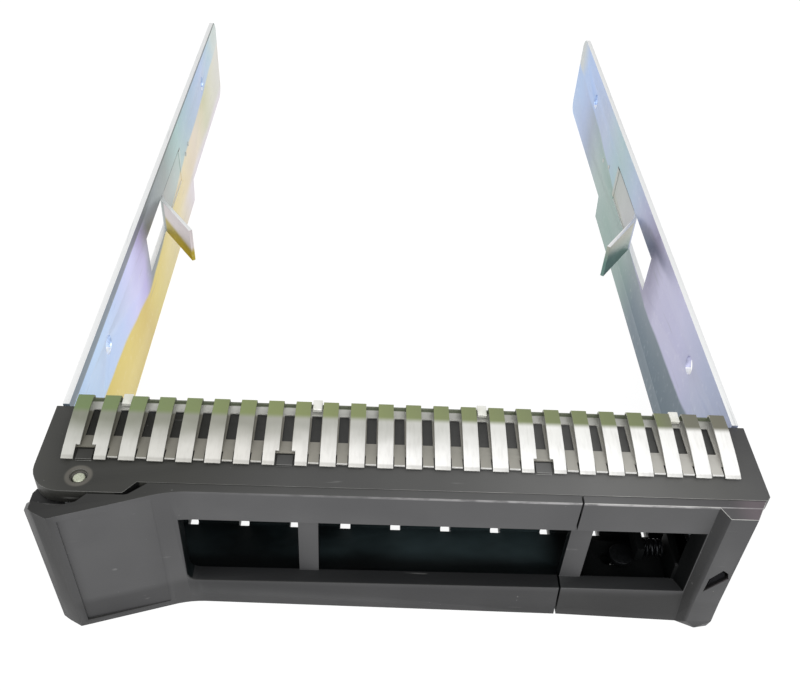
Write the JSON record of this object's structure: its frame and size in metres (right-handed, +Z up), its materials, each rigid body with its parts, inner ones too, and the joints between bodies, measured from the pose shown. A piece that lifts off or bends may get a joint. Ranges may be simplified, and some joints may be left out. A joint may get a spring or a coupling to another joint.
{
  "type": "hot-swap hard disk tray",
  "caption": "Empty hot-swap tray for a 3.5-inch hard disk: plastic bezel with a swinging handle, a sliding latch, a spring contact strip and two steel side rails.",
  "frame": {"origin": "under the middle of the tray's overall box, on the surface it lies on", "axes": "+X to the right seen from the front, +Y from the bezel to the open rear end of the rails, +Z up"},
  "size_m": [0.1056, 0.1704, 0.0288],
  "materials": {
    "bezel_plastic": "fine moulded texture, worn along the front edge",
    "handle_plastic": "fine moulded texture, worn along the top edge",
    "latch_plastic": "fine moulded texture, worn along the top edge",
    "lens_black": "smoked, glossy",
    "light_pipe_clear": "clear moulded",
    "pin_steel": "turned, slightly dull",
    "spring_steel": "drawn wire",
    "screw_steel": "black oxide",
    "contact_steel": "rolled spring strip, satin",
    "clip_steel": "bright spring strip",
    "rail_zinc": "zinc plated, blue-lilac and yellow passivation",
    "rivet_zinc": "zinc plated"
  },
  "bodies": {
    "tray": {"bezel_body": "bezel_plastic", "light_pipe_status": "light_pipe_clear", "light_pipe_activity": "light_pipe_clear", "hinge_pin": "pin_steel", "handle_spring": "spring_steel", "latch_spring": "spring_steel", "latch_guide_screw_lower": "screw_steel", "latch_guide_screw_upper": "screw_steel", "emi_gasket": "contact_steel", "gasket_clip_1": "clip_steel", "gasket_clip_2": "clip_steel", "gasket_clip_3": "clip_steel", "gasket_clip_4": "clip_steel", "left_rail": "rail_zinc", "right_rail": "rail_zinc", "left_rivet_lower": "rivet_zinc", "left_rivet_upper": "rivet_zinc", "right_rivet_lower": "rivet_zinc", "right_rivet_upper": "rivet_zinc"},
    "handle": {"handle": "handle_plastic"},
    "latch": {"release_latch": "latch_plastic", "indicator_lens": "lens_black"}
  },
  "joints": [
    {"name": "handle_swing", "type": "hinge", "parent": "tray", "child": "handle", "pos_m": [-0.0461, -0.07745, 0.0134], "axis": [0, 0, -1], "range_deg": [0, 45]},
    {"name": "latch_slide", "type": "slide", "parent": "tray", "child": "latch", "axis": [1, 0, 0], "range_m": [0, 0.002], "stiffness_N_per_m": 200, "springref_m": -0.001}
  ]
}
